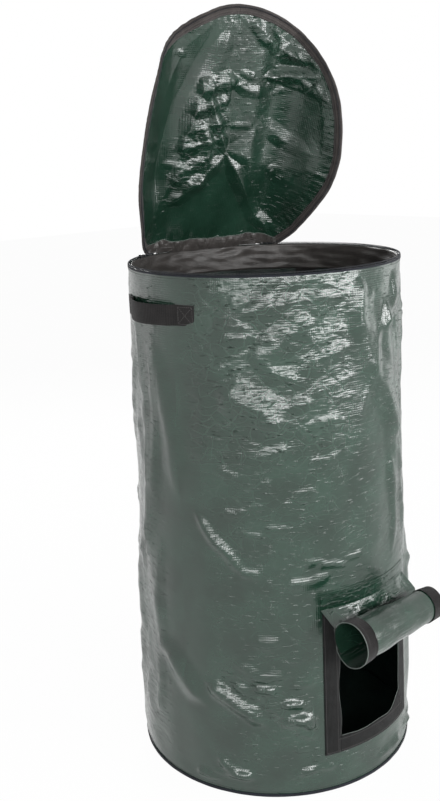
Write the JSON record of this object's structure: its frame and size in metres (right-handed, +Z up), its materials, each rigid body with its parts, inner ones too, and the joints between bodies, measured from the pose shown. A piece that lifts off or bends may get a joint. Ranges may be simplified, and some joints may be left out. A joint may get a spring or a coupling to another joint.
{
  "type": "garden compost bag",
  "caption": "Round standing compost bag of woven tarpaulin with an open zipped lid, webbing handles and a low emptying window under a rolled cloth flap.",
  "frame": {"origin": "middle of the floor's underside, on the bag's axis", "axes": "+Z up along the bag's axis, -Y towards the emptying window"},
  "size_m": [0.4546, 0.5218, 1.184],
  "materials": {
    "tarpaulin": "laminated woven polyethylene tape, green, satin sheen",
    "tarpaulin_inside": "underside of the same tarpaulin, darker",
    "binding_tape": "matte woven binding",
    "webbing": "matte black webbing",
    "hook_tape": "hook tape, dull black",
    "loop_tape": "loop tape, dull black",
    "zip_coil": "nylon zip coil",
    "zip_metal": "black painted zinc casting"
  },
  "bodies": {
    "bag": {"wall_panel": "tarpaulin", "floor_disc": "tarpaulin_inside", "base_binding": "binding_tape", "side_seam": "tarpaulin_inside", "rim_band": "binding_tape", "rim_zip_coil": "zip_coil", "zip_stop_start": "zip_metal", "zip_stop_end": "zip_metal", "lid_hinge_seam": "binding_tape", "window_tape_left": "hook_tape", "window_tape_right": "hook_tape", "window_tape_bottom": "hook_tape", "flap_header": "tarpaulin", "handle_left_front_end": "webbing", "handle_left_rear_end": "webbing", "handle_right_front_end": "webbing", "handle_right_rear_end": "webbing"},
    "lid": {"lid_hinge_piping": "binding_tape", "lid_middle_panel": "tarpaulin_inside", "lid_middle_binding": "binding_tape", "lid_middle_zip_coil": "zip_coil"},
    "lid_left": {"lid_left_panel": "tarpaulin_inside", "lid_left_binding": "binding_tape", "lid_left_zip_coil": "zip_coil"},
    "lid_right": {"lid_right_panel": "tarpaulin_inside", "lid_right_binding": "binding_tape", "lid_right_zip_coil": "zip_coil"},
    "slider": {"zip_slider": "zip_metal"},
    "pull": {"zip_pull_tab": "zip_metal"},
    "flap_1": {"flap_panel_1": "tarpaulin", "flap_tape_left_1": "loop_tape", "flap_tape_right_1": "loop_tape"},
    "flap_2": {"flap_panel_2": "tarpaulin", "flap_tape_left_2": "loop_tape", "flap_tape_right_2": "loop_tape"},
    "flap_3": {"flap_panel_3": "tarpaulin", "flap_tape_left_3": "loop_tape", "flap_tape_right_3": "loop_tape"},
    "flap_4": {"flap_panel_4": "tarpaulin", "flap_tape_left_4": "loop_tape", "flap_tape_right_4": "loop_tape"},
    "flap_5": {"flap_panel_5": "tarpaulin", "flap_tape_left_5": "loop_tape", "flap_tape_right_5": "loop_tape"},
    "flap_6": {"flap_panel_6": "tarpaulin", "flap_tape_left_6": "loop_tape", "flap_tape_right_6": "loop_tape"},
    "flap_7": {"flap_panel_7": "tarpaulin", "flap_tape_left_7": "loop_tape", "flap_tape_right_7": "loop_tape"},
    "flap_8": {"flap_panel_8": "tarpaulin", "flap_tape_bottom": "loop_tape"},
    "handle_left": {"handle_left_loop": "webbing"},
    "handle_right": {"handle_right_loop": "webbing"}
  },
  "joints": [
    {"name": "lid_hinge", "type": "hinge", "parent": "bag", "child": "lid", "pos_m": [0.04184, 0.18123, 0.81], "axis": [0.9744, -0.225, 0], "range_deg": [-20, 69]},
    {"name": "lid_left_fold", "type": "hinge", "parent": "lid", "child": "lid_left", "pos_m": [-0.06078, 0.20349, 0.80946], "axis": [0.0806, 0.3492, -0.9336], "range_deg": [-15, 50]},
    {"name": "lid_right_fold", "type": "hinge", "parent": "lid", "child": "lid_right", "pos_m": [0.14383, 0.15625, 0.80946], "axis": [-0.0806, -0.3492, 0.9336], "range_deg": [-17, 56]},
    {"name": "zip_slide", "type": "hinge", "parent": "bag", "child": "slider", "pos_m": [0, 0, 0.8], "axis": [0, 0, 1], "range_deg": [-8, 286]},
    {"name": "pull_tab", "type": "hinge", "parent": "slider", "child": "pull", "pos_m": [-0.10047, 0.18895, 0.797], "axis": [0.8829, 0.4695, 0], "range_deg": [0, 90]},
    {"name": "flap_unroll", "type": "hinge", "parent": "bag", "child": "flap_1", "pos_m": [0, -0.2261, 0.27], "axis": [1, 0, 0], "range_deg": [0, 38]},
    {"name": "flap_unroll_2", "type": "hinge", "parent": "flap_1", "child": "flap_2", "pos_m": [0, -0.24251, 0.24984], "axis": [1, 0, 0], "range_deg": [0, 41]},
    {"name": "flap_unroll_3", "type": "hinge", "parent": "flap_2", "child": "flap_3", "pos_m": [0, -0.26813, 0.24539], "axis": [1, 0, 0], "range_deg": [0, 44]},
    {"name": "flap_unroll_4", "type": "hinge", "parent": "flap_3", "child": "flap_4", "pos_m": [0, -0.28965, 0.25998], "axis": [1, 0, 0], "range_deg": [0, 47]},
    {"name": "flap_unroll_5", "type": "hinge", "parent": "flap_4", "child": "flap_5", "pos_m": [0, -0.29365, 0.28567], "axis": [1, 0, 0], "range_deg": [0, 50]},
    {"name": "flap_unroll_6", "type": "hinge", "parent": "flap_5", "child": "flap_6", "pos_m": [0, -0.27654, 0.30525], "axis": [1, 0, 0], "range_deg": [0, 53]},
    {"name": "flap_unroll_7", "type": "hinge", "parent": "flap_6", "child": "flap_7", "pos_m": [0, -0.25061, 0.30337], "axis": [1, 0, 0], "range_deg": [0, 56]},
    {"name": "flap_unroll_8", "type": "hinge", "parent": "flap_7", "child": "flap_8", "pos_m": [0, -0.23767, 0.28082], "axis": [1, 0, 0], "range_deg": [0, 59]},
    {"name": "handle_left_swing", "type": "hinge", "parent": "bag", "child": "handle_left", "pos_m": [-0.21306, 0.02239, 0.743], "axis": [0.1045, 0.9945, 0], "range_deg": [-20, 20]},
    {"name": "handle_right_swing", "type": "hinge", "parent": "bag", "child": "handle_right", "pos_m": [0.21306, 0.02239, 0.743], "axis": [0.1045, -0.9945, 0], "range_deg": [-20, 20]}
  ],
  "couplings": [
    {"joint": "lid_left_fold", "follows": "lid_hinge", "ratio": 0.7246},
    {"joint": "lid_right_fold", "follows": "lid_hinge", "ratio": 0.8115},
    {"joint": "flap_unroll_2", "follows": "flap_unroll", "ratio": 1.0789},
    {"joint": "flap_unroll_3", "follows": "flap_unroll", "ratio": 1.1578},
    {"joint": "flap_unroll_4", "follows": "flap_unroll", "ratio": 1.2368},
    {"joint": "flap_unroll_5", "follows": "flap_unroll", "ratio": 1.3157},
    {"joint": "flap_unroll_6", "follows": "flap_unroll", "ratio": 1.3947},
    {"joint": "flap_unroll_7", "follows": "flap_unroll", "ratio": 1.4736},
    {"joint": "flap_unroll_8", "follows": "flap_unroll", "ratio": 1.5526}
  ]
}
